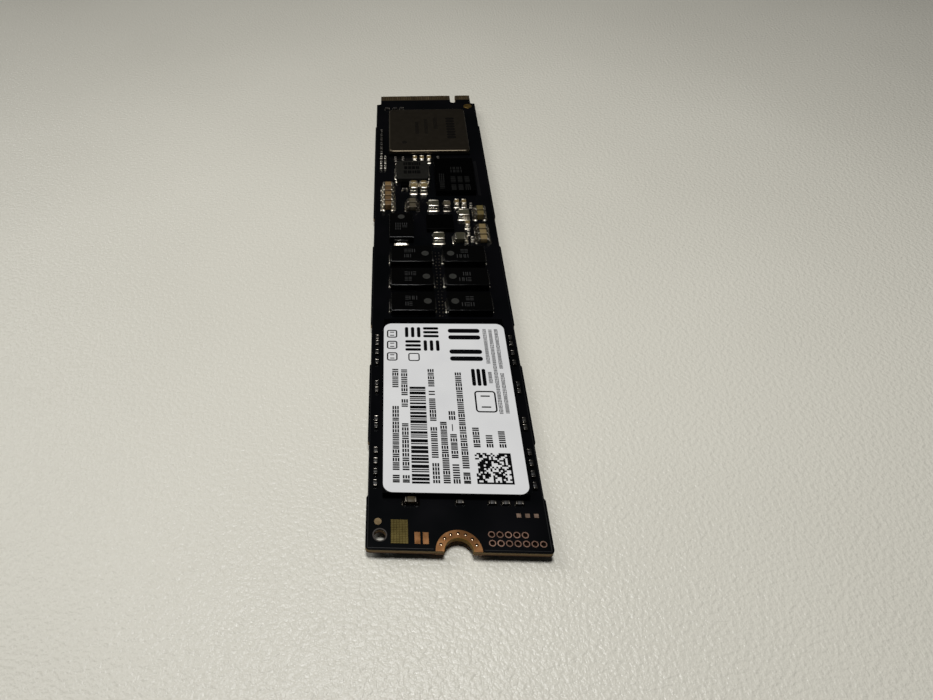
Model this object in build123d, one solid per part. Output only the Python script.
from build123d import *
import os

# A double-sided M.2 storage module in millimetres. X runs across the board, Y from the screw end
# to the connector, Z up from the surface that the packages on the underside rest on.

# Laminate: thickness, corners, and the side strips that flank the flash packages
board_thickness = 0.8
corner_radius = 0.5
side_strip = 2.0
relief_depth = 0.17
relief_ramp = 0.3
relief_length = 8.5
power_relief_lead = 0.9
shoulder_relief_length = 10.0

# Connector tongue, key slot and contact fingers
shoulder_step = 1.075
tongue_length = 4.0
tongue_bevel = 0.15
tongue_bevel_run = 0.3
tongue_root_radius = 0.4
key_offset = 6.125
key_width = 1.2
key_depth = 3.5
finger_pitch = 0.5
finger_width = 0.35
finger_length = 1.7
finger_margin = 0.5
finger_key_gap = 0.225

# Bare copper: thickness, screw notch ring, debug holes, pads and marks
copper = 0.04
screw_radius = 1.75
screw_ring_width = 1.0
debug_ring_radius = 0.42
debug_hole_radius = 0.3
debug_pitch = 0.985
debug_row_step = 1.1
debug_gap = 0.77
debug_edge = 1.15
debug_margin = 1.1
debug_short_row = 2
screw_vias = 7
screw_via_radius = 0.15
screw_via_turn = 23.0
round_sides = 12
tall_pad_width = 0.68
tall_pad_length = 1.5
tall_pad_step = 0.31
code_pad_width = 2.05
code_pad_length = 3.1
pad_gap = 0.75
pad_edge = 0.85
square_pad = 0.55
square_pad_pitch = 1.05
square_pad_count = 3
square_pad_margin = 1.45
square_pad_edge = 4.8
tool_hole_radius = 0.72
tool_ring_radius = 0.875
tool_hole_shift = 0.2
tool_hole_edge = 1.9
small_fiducial_radius = 0.45
small_fiducial_shift = 0.25
small_fiducial_step = 1.75
large_fiducial_radius = 0.9
large_fiducial_edge = 1.8
large_fiducial_step = 1.2

# Zones along the board, from the screw end to the connector: they add up to 110
screw_zone = 6.9
flash_gap = 2.2
bank_gap = 1.6
power_gap = 2.05
power_zone = 14.25
controller_gap = 3.0
tongue_gap = 4.1

# Memory packages: a moulded block that stands on its narrower field of solder balls
memory_height = 1.2
ball_height = 0.2
ball_inset = 0.6
flash_width = 18.0
flash_length = 14.0
dram_width = 7.5
dram_length = 11.0
dram_offset = 4.4
label_width = 17.9
label_length = 29.0
label_thickness = 0.1
label_radius = 1.2
label_inset = 0.05

# Controller: package substrate and drawn metal lid
controller_width = 16.3
controller_length = 17.0
controller_offset = -0.05
substrate_height = 0.4
lid_inset = 0.05
lid_height = 0.65
lid_corner = 0.9
lid_edge = 0.3

# Moulded hold-up capacitors with folded leads
holdup_length = 7.3
holdup_width = 4.3
holdup_height = 1.4
holdup_draft = 6.0
holdup_rows = 3
holdup_row_gap = 1.5
holdup_column_gap = 1.55
turned_holdup_offset = -6.0
lead_width = 2.4
lead_foot = 1.3
lead_thickness = 0.12
lead_bend_gap = 0.08
lead_level = 0.72

# Power inductor with a terminal folded under each side
inductor_size = 6.2
inductor_height = 1.1
inductor_offset = -3.65
inductor_step = 4.3
inductor_corner = 0.5
inductor_edge = 0.12
terminal_width = 3.4
terminal_rise = 0.75
terminal_foot = 1.4
terminal_thickness = 0.12

# Other packages
regulator_width = 4.8
regulator_length = 4.2
regulator_height = 0.8
regulator_edge = 0.06
regulator_offset = 0.9
regulator_step = 3.25
logic_width = 1.6
logic_length = 1.2
logic_height = 0.55
crystal_length = 2.5
crystal_width = 2.0
crystal_base = 0.35
crystal_lid = 0.2
crystal_lid_inset = 0.2

# Two-ended chips: length, width, height and end band of each size
large_length = 2.0
large_width = 1.25
large_height = 1.25
large_low_height = 0.95
large_band = 0.42
medium_length = 1.6
medium_width = 0.8
medium_height = 0.8
medium_band = 0.35
small_length = 1.0
small_width = 0.5
small_height = 0.45
small_band = 0.25
choke_length = 2.0
choke_width = 1.9
choke_height = 1.0
choke_band = 0.32
block_step = 0.02
chip_gap = 0.3
small_gap = 0.15

# Places of the chips: X from the middle of the board, the inductor or an edge, Y from a zone's front line
input_bank_edge = 2.67
input_bank_step = 9.85
input_bank_count = 5
output_bank_edge = 2.8
output_low_step = 0.15
output_low_count = 3
output_high_step = 6.75
output_high_count = 2
buck_pair_x = (0.2, 2.1)
buck_stack_x = -3.85
buck_stack_step = 9.55
buck_stack_count = 2
buck_single = (2.45, 9.75)
choke_across = (4.2, 0.15)
chokes_along = ((0.5, 0.25), (5.3, 7.0), (0.0, 9.75))
medium_along = ((4.3, 10.75), (5.6, 10.75), (5.75, 4.4))
controller_trio_x = (0.65, 2.05, 3.45)
controller_trio_gap = 1.0
screw_medium_x = -5.5
screw_small_x = (0.5, 4.45, 6.1, 7.75)
near_flash_groups = ((1.45, 1), (3.1, 1), (4.7, 1), (6.35, 1), (10.3, 2))
far_flash_groups = ((0.3, 2), (5.55, 1), (7.45, 1), (9.3, 2))
controller_column_gap = 0.45
controller_column_pitch = 0.8
controller_column_back = 5.15
controller_column_count = 9
controller_short_count = 3
small_column_gap = 0.75
tongue_small_x = (-0.3, 1.4, 2.8)
tongue_small_step = 2.2
power_small = ((6.85, 10.5), (5.8, 2.4), (6.35, 0.6))
inductor_small_x = (-3.2, -1.7)
inductor_small_back = 1.95
dram_small_x = 1.65
dram_small_back = 1.8
logic_small_step = 1.5
underside_grid = 2.2
underside_medium_x = (-4.4, -1.5, 1.4, 4.3)
underside_medium_step = 5.0
crystal_gap = 1.05

# Derived levels and stations
board_bottom = memory_height
board_top = board_bottom + board_thickness
board_width = flash_width + 2 * side_strip
half_width = board_width / 2
tongue_width = board_width - 2 * shoulder_step
holdup_pitch = holdup_width + holdup_row_gap
bank_length = holdup_rows * holdup_pitch - holdup_row_gap
flash_pitch = flash_length + flash_gap
storage_zone = screw_zone + flash_pitch + flash_length
supply_zone = bank_gap + bank_length + power_gap + power_zone
logic_zone = dram_length + controller_gap + controller_length + tongue_gap
board_length = storage_zone + supply_zone + logic_zone + tongue_length
screw_end = -board_length / 2
connector_end = board_length / 2
shoulder = connector_end - tongue_length
flash_front = screw_end + screw_zone
bank_front = flash_front + flash_pitch + flash_length + bank_gap
power_front = bank_front + bank_length + power_gap
memory_front = power_front + power_zone
controller_front = memory_front + dram_length + controller_gap
controller_left = controller_offset - controller_width / 2
screw_ring_radius = screw_radius + screw_ring_width
inductor_front = memory_front + inductor_step

LARGE = (large_length, large_width, large_height, large_band)
LARGE_LOW = (large_length, large_width, large_low_height, large_band)
MEDIUM = (medium_length, medium_width, medium_height, medium_band)
SMALL = (small_length, small_width, small_height, small_band)
CHOKE = (choke_length, choke_width, choke_height, choke_band)

ON_BASE = (Align.CENTER, Align.CENTER, Align.MIN)
nodes = {}


def block(width, length, height):
    """A plain block standing on the XY plane."""
    return Box(width, length, height, align=ON_BASE)


def disc(radius, height):
    return Cylinder(radius, height, align=ON_BASE)


def small_round(radius):
    """The outline of a small repeated hole or ring, with few sides."""
    return RegularPolygon(radius, round_sides)


def on_top(piece, x, y, turn=0.0):
    """Stand a piece on the top face, turned about its own upright axis."""
    return Pos(x, y, board_top) * Rot(0, 0, turn) * piece


def under(piece, x, y, turn=0.0):
    """Hang a piece from the underside, as if the board were rolled over its length."""
    return Pos(x, y, board_bottom) * Rot(0, 180, 0) * Rot(0, 0, turn) * piece


def at_span(first, count, pitch):
    return [first + pitch * step for step in range(count)]


# Screw end: stations of the bare copper and the drilled holes
tall_pad_first = -screw_ring_radius - pad_gap - tall_pad_width / 2
tall_pad_x = at_span(tall_pad_first, 2, -tall_pad_width - tall_pad_step)
code_pad_x = tall_pad_x[-1] - tall_pad_width / 2 - pad_gap - code_pad_width / 2
code_pad_y = screw_end + pad_edge + code_pad_length / 2
tool_hole_x = (code_pad_x - code_pad_width / 2 - half_width) / 2 + tool_hole_shift
tool_hole_y = screw_end + tool_hole_edge
debug_first = screw_ring_radius + debug_gap + debug_ring_radius
debug_count = int((half_width - debug_margin - debug_first) / debug_pitch) + 1
debug_x = at_span(debug_first, debug_count, debug_pitch)
debug_places = [(x, screw_end + debug_edge) for x in debug_x]
debug_places += [(x, screw_end + debug_edge + debug_row_step) for x in debug_x[:-debug_short_row]]


def board_outline():
    """The board's outline: body, tongue, key slot, screw notch and the shallow reliefs of its long edges."""
    body_length = shoulder - screw_end
    body = Pos(0, screw_end + body_length / 2) * Rectangle(board_width, body_length)
    body = fillet(body.vertices(), corner_radius)
    tongue_inside = tongue_length + corner_radius
    tongue = Pos(0, connector_end - tongue_inside / 2) * Rectangle(tongue_width, tongue_inside)
    outline = body + tongue
    at_shoulder = [v for v in outline.vertices() if abs(v.Y - shoulder) < 1e-4]
    roots = [v for v in at_shoulder if abs(abs(v.X) - tongue_width / 2) < 1e-4]
    outline = fillet(roots, tongue_root_radius)
    slot_end = connector_end - key_depth + key_width / 2
    slot_length = connector_end - slot_end
    outline -= Pos(key_offset, slot_end + slot_length / 2) * Rectangle(key_width, slot_length)
    outline -= Pos(key_offset, slot_end) * Circle(key_width / 2)
    outline -= Pos(0, screw_end) * Circle(screw_radius)
    flash_back = flash_front + flash_pitch + flash_length
    starts = [flash_front, flash_back - relief_length, power_front - power_relief_lead]
    spans = [(start, start + relief_length) for start in starts]
    spans.append((shoulder - shoulder_relief_length, shoulder + corner_radius))
    for start, end in spans:
        for side in (-1, 1):
            edge = side * half_width
            inner = edge - side * relief_depth
            corners = [(edge, start), (inner, start + relief_ramp), (inner, end - relief_ramp), (edge, end)]
            outline -= make_face(Polyline(*corners, close=True))
    return outline


def tongue_bevels():
    """The two wedges that bevel the tongue's leading edge, top and bottom."""
    start = connector_end - tongue_bevel_run
    section = Polyline((start, 0), (connector_end, 0), (connector_end, tongue_bevel), close=True)
    wedge = extrude(Plane.YZ * make_face(section), half_width, both=True)
    return wedge + Pos(0, 0, board_thickness) * mirror(wedge, Plane.XY)


def board():
    plate = extrude(board_outline(), board_thickness) - tongue_bevels()
    plate -= Pos(tool_hole_x, tool_hole_y) * disc(tool_hole_radius, board_thickness)
    for x, y in debug_places:
        plate -= Pos(x, y) * extrude(small_round(debug_ring_radius), board_thickness)
    return Pos(0, 0, board_bottom) * plate


def fingers(place, count):
    """One row of contact fingers, left out around the key slot."""
    bare = key_width / 2 + finger_width / 2 + finger_key_gap
    y = connector_end - tongue_bevel_run - finger_length / 2
    row = at_span(-finger_pitch * (count - 1) / 2, count, finger_pitch)
    finger = block(finger_width, finger_length, copper)
    return [place(finger, x, y) for x in row if abs(x - key_offset) > bare]


def screw_ring():
    """The plated half-ring under the screw head, with its fan of vias and the screw end at Y = 0."""
    ring = Circle(screw_ring_radius) - Circle(screw_radius)
    ring &= Pos(0, screw_ring_radius) * Rectangle(2 * screw_ring_radius, 2 * screw_ring_radius)
    middle = (screw_radius + screw_ring_radius) / 2
    for turn in at_span(-screw_via_turn * (screw_vias - 1) / 2, screw_vias, screw_via_turn):
        ring -= Rot(0, 0, turn) * Pos(0, middle) * small_round(screw_via_radius)
    return extrude(ring, copper)


def debug_eyelet():
    """A plated hole with its ring, through the whole board."""
    tube = small_round(debug_ring_radius) - small_round(debug_hole_radius)
    return Pos(0, 0, -board_thickness - copper) * extrude(tube, board_thickness + 2 * copper)


def memory_package(width, length):
    foot = block(width - 2 * ball_inset, length - 2 * ball_inset, ball_height)
    return foot + Pos(0, 0, ball_height) * block(width, length, memory_height - ball_height)


def controller_lid():
    """A drawn lid: rounded corners in plan and a rounded upper edge."""
    width, length = controller_width - 2 * lid_inset, controller_length - 2 * lid_inset
    lid = extrude(RectangleRounded(width, length, lid_corner), lid_height)
    return Pos(0, 0, substrate_height) * fillet(lid.edges().group_by(Axis.Z)[-1], lid_edge)


def holdup_body():
    """A moulded body along X: a straight band at the leads, drafted above and below it."""
    length = holdup_length - 2 * (lead_thickness + lead_bend_gap)
    parting = Rectangle(length, holdup_width)
    band = extrude(parting, lead_thickness)
    rise = holdup_height - lead_level - lead_thickness
    upper = extrude(Pos(0, 0, lead_thickness) * parting, rise, taper=holdup_draft)
    lower = extrude(parting, lead_thickness - lead_level, taper=holdup_draft)
    return Pos(0, 0, lead_level) * (band + upper + lower)


def holdup_leads():
    """Two strips that leave the body at its band, fold down the end and under the body."""
    end = holdup_length / 2
    inner = end - lead_thickness
    body_end = inner - lead_bend_gap
    top = lead_level + lead_thickness
    fold = Polyline(
        (body_end, top), (end, top), (end, 0), (end - lead_foot, 0), (end - lead_foot, lead_thickness),
        (inner, lead_thickness), (inner, lead_level), (body_end, lead_level), close=True)
    strip = extrude(Plane.XZ * make_face(fold), lead_width / 2, both=True)
    return [strip, Rot(0, 0, 180) * strip]


def inductor_body():
    plan = RectangleRounded(inductor_size, inductor_size, inductor_corner)
    body = extrude(plan, inductor_height - terminal_thickness)
    return Pos(0, 0, terminal_thickness) * chamfer(body.edges().group_by(Axis.Z)[-1], inductor_edge)


def inductor_terminals():
    """An L-shaped strip on each side: up the wall and under the body."""
    wall = inductor_size / 2
    outer = wall + terminal_thickness
    fold = Polyline(
        (outer, 0), (outer, terminal_rise), (wall, terminal_rise), (wall, terminal_thickness),
        (outer - terminal_foot, terminal_thickness), (outer - terminal_foot, 0), close=True)
    strip = extrude(Plane.XZ * make_face(fold), terminal_width / 2, both=True)
    return [strip, Rot(0, 0, 180) * strip]


def chip(size):
    """A two-ended chip along X: the block between its ends, and the two end caps."""
    length, width, height, band = size
    core = Pos(0, 0, block_step) * block(length - 2 * band, width - 2 * block_step, height - 2 * block_step)
    cap = block(band, width, height)
    reach = (length - band) / 2
    return core, [Pos(-reach, 0, 0) * cap, Pos(reach, 0, 0) * cap]


def chips(name, places, stand=on_top):
    """Place chips as two nodes, the blocks and the end caps. A place is size, x, y and turn."""
    cores, caps = [], []
    for size, x, y, turn in places:
        core, ends = chip(size)
        cores.append(stand(core, x, y, turn))
        caps += [stand(end, x, y, turn) for end in ends]
    nodes[name + "_blocks"] = cores
    nodes[name + "_ends"] = caps


def stack(size, x, front, count):
    """Chips lying across the board, one behind the other from a front line."""
    pitch = size[1] + chip_gap
    return [(size, x, y, 0) for y in at_span(front + size[1] / 2, count, pitch)]


def lengthwise(size, x, front):
    """A chip that runs along the board from a front line."""
    return (size, x, front + size[0] / 2, 90)


# Board, contacts and bare copper
finger_count = int((tongue_width - 2 * finger_margin) / finger_pitch) + 1
nodes["board"] = [board()]
nodes["contact_fingers_top"] = fingers(on_top, finger_count)
nodes["contact_fingers_bottom"] = fingers(under, finger_count - 1)
nodes["screw_ring_top"] = [on_top(screw_ring(), 0, screw_end)]
nodes["screw_ring_bottom"] = [under(screw_ring(), 0, screw_end)]
nodes["debug_eyelets"] = [on_top(debug_eyelet(), x, y) for x, y in debug_places]
tall_pad = block(tall_pad_width, tall_pad_length, copper)
square = block(square_pad, square_pad, copper)
square_first = half_width - square_pad_margin - (square_pad_count - 1) * square_pad_pitch
tall_y = screw_end + pad_edge + tall_pad_length / 2
nodes["test_pads"] = [on_top(tall_pad, x, tall_y) for x in tall_pad_x]
for x in at_span(square_first, square_pad_count, square_pad_pitch):
    nodes["test_pads"].append(on_top(square, x, screw_end + square_pad_edge))
nodes["code_pad"] = [on_top(block(code_pad_width, code_pad_length, copper), code_pad_x, code_pad_y)]
tool_ring = extrude(Circle(tool_ring_radius) - Circle(tool_hole_radius), copper)
nodes["tooling_ring"] = [on_top(tool_ring, tool_hole_x, tool_hole_y)]
small_mark = disc(small_fiducial_radius, copper)
large_mark = disc(large_fiducial_radius, copper)
nodes["fiducials"] = [
    on_top(small_mark, tool_hole_x - small_fiducial_shift, tool_hole_y + small_fiducial_step),
    on_top(large_mark, half_width - large_fiducial_edge, shoulder - large_fiducial_step)]

# Packages
flash_y = [flash_front + flash_length / 2, flash_front + flash_pitch + flash_length / 2]
dram_y = memory_front + dram_length / 2
for number, y in enumerate(flash_y, 1):
    nodes[f"flash_top_{number}"] = [on_top(memory_package(flash_width, flash_length), 0, y)]
    nodes[f"flash_bottom_{number}"] = [under(memory_package(flash_width, flash_length), 0, y)]
nodes["dram_top"] = [on_top(memory_package(dram_width, dram_length), dram_offset, dram_y)]
nodes["dram_bottom"] = [under(memory_package(dram_width, dram_length), dram_offset, dram_y)]
sheet = extrude(RectangleRounded(label_width, label_length, label_radius), label_thickness)
label_y = flash_front + label_inset + label_length / 2
nodes["label"] = [Pos(0, label_y, board_top + memory_height) * sheet]
controller_y = controller_front + controller_length / 2
substrate = block(controller_width, controller_length, substrate_height)
nodes["controller_substrate"] = [on_top(substrate, controller_offset, controller_y)]
nodes["controller_lid"] = [on_top(controller_lid(), controller_offset, controller_y)]
regulator = block(regulator_width, regulator_length, regulator_height)
regulator = chamfer(regulator.edges().group_by(Axis.Z)[-1], regulator_edge)
regulator_y = power_front + regulator_step + regulator_length / 2
nodes["regulator"] = [on_top(regulator, regulator_offset, regulator_y)]
logic_x = inductor_offset - inductor_size / 2 + logic_width
logic_y = inductor_front - chip_gap - logic_length / 2
nodes["logic_package"] = [on_top(block(logic_width, logic_length, logic_height), logic_x, logic_y)]

# Power inductor
inductor_y = inductor_front + inductor_size / 2
nodes["power_inductor"] = [on_top(inductor_body(), inductor_offset, inductor_y)]
nodes["power_inductor_terminals"] = [on_top(t, inductor_offset, inductor_y) for t in inductor_terminals()]

# Hold-up capacitors: two columns of rows, and one turned along the board
column = (holdup_length + holdup_column_gap) / 2
bank_y = at_span(bank_front + holdup_width / 2, holdup_rows, holdup_pitch)
holdups = [(side * column, y, 90 - 90 * side) for y in bank_y for side in (-1, 1)]
holdups.append((turned_holdup_offset, power_front + holdup_length / 2, 90))
leads = []
for number, (x, y, turn) in enumerate(holdups, 1):
    nodes[f"holdup_capacitor_{number}"] = [on_top(holdup_body(), x, y, turn)]
    leads += [on_top(lead, x, y, turn) for lead in holdup_leads()]
nodes["holdup_leads"] = leads

# Large chips and chokes of the power section
input_x = input_bank_edge - half_width
output_x = half_width - output_bank_edge
chips("input_bank", stack(LARGE, input_x, power_front + input_bank_step, input_bank_count))
output_bank = stack(LARGE_LOW, output_x, power_front + output_low_step, output_low_count)
output_bank += stack(LARGE, output_x, power_front + output_high_step, output_high_count)
chips("output_bank", output_bank)
rear_y = inductor_front - chip_gap - medium_width / 2
pair_front = inductor_front - 2 * chip_gap - medium_width - large_length
buck = [lengthwise(LARGE, inductor_offset + dx, pair_front) for dx in buck_pair_x]
buck += stack(LARGE_LOW, buck_stack_x, power_front + buck_stack_step, buck_stack_count)
buck.append(lengthwise(LARGE_LOW, buck_single[0], power_front + buck_single[1]))
chips("buck_capacitors", buck)
chokes = [(CHOKE, choke_across[0], power_front + choke_across[1] + choke_width / 2, 0)]
chokes += [lengthwise(CHOKE, x, power_front + step) for x, step in chokes_along]
chips("chokes", chokes)

# Medium chips: by the controller and the chokes, behind the buck pair, at the screw end
trio_front = controller_front - controller_trio_gap - medium_length
medium = [lengthwise(MEDIUM, inductor_offset + dx, trio_front) for dx in controller_trio_x]
medium += [lengthwise(MEDIUM, x, power_front + step) for x, step in medium_along]
medium += [(MEDIUM, inductor_offset + dx, rear_y, 0) for dx in buck_pair_x]
medium.append((MEDIUM, screw_medium_x, flash_front - small_gap - medium_width / 2, 0))
chips("medium_capacitors", medium)

# Small chips in the strips beside the flash packages
strip_x = (half_width - relief_depth + flash_width / 2) / 2
strip = []
for base, groups in ((flash_front, near_flash_groups), (flash_front + flash_pitch, far_flash_groups)):
    for offset, count in groups:
        for front in at_span(base + offset, count, small_length + small_gap):
            strip += [lengthwise(SMALL, side * strip_x, front) for side in (-1, 1)]
chips("flash_capacitors", strip)

# Small chips beside the controller, and the single ones
inner_x = controller_left - controller_column_gap - small_width / 2
column_first = controller_front - controller_column_back
column_y = at_span(column_first, controller_column_count, small_length + small_column_gap)
beside = [lengthwise(SMALL, inner_x - controller_column_pitch, y) for y in column_y]
beside += [lengthwise(SMALL, inner_x, y) for y in column_y[:controller_short_count]]
chips("controller_capacitors", beside)
inductor_small_front = controller_front - inductor_small_back
singles = [(SMALL, x, flash_front - 2 * small_gap - small_width / 2, 0) for x in screw_small_x]
singles += [(SMALL, controller_left + dx, shoulder - tongue_small_step, 0) for dx in tongue_small_x]
singles += [lengthwise(SMALL, x, power_front + step) for x, step in power_small]
singles += [lengthwise(SMALL, inductor_offset + dx, inductor_small_front) for dx in inductor_small_x]
singles.append(lengthwise(SMALL, dram_small_x, controller_front - dram_small_back))
singles.append((SMALL, logic_x, logic_y - logic_small_step, 0))
chips("resistors", singles)

# Underside: decoupling chips below the controller and beside the flash packages, and the clock crystal
grid = at_span(-underside_grid, 3, underside_grid)
decoupling = [(SMALL, controller_offset + dx, controller_y + dy, 0) for dx in grid for dy in grid]
for y in flash_y:
    for quarter in (-flash_length / 4, flash_length / 4):
        decoupling += [lengthwise(SMALL, side * strip_x, y + quarter) for side in (-1, 1)]
decoupling += [(MEDIUM, x, power_front + underside_medium_step, 0) for x in underside_medium_x]
chips("underside_capacitors", decoupling, under)
crystal_x = controller_left + crystal_length / 2
crystal_y = memory_front + dram_length + crystal_gap + crystal_width / 2
cover_length = crystal_length - 2 * crystal_lid_inset
cover_width = crystal_width - 2 * crystal_lid_inset
crystal_cover = Pos(0, 0, crystal_base) * block(cover_length, cover_width, crystal_lid)
nodes["crystal_base"] = [under(block(crystal_length, crystal_width, crystal_base), crystal_x, crystal_y)]
nodes["crystal_lid"] = [under(crystal_cover, crystal_x, crystal_y)]

os.makedirs("parts", exist_ok=True)
for name, solids in nodes.items():
    export_step(Compound(children=solids) if len(solids) > 1 else solids[0], f"parts/{name}.step")
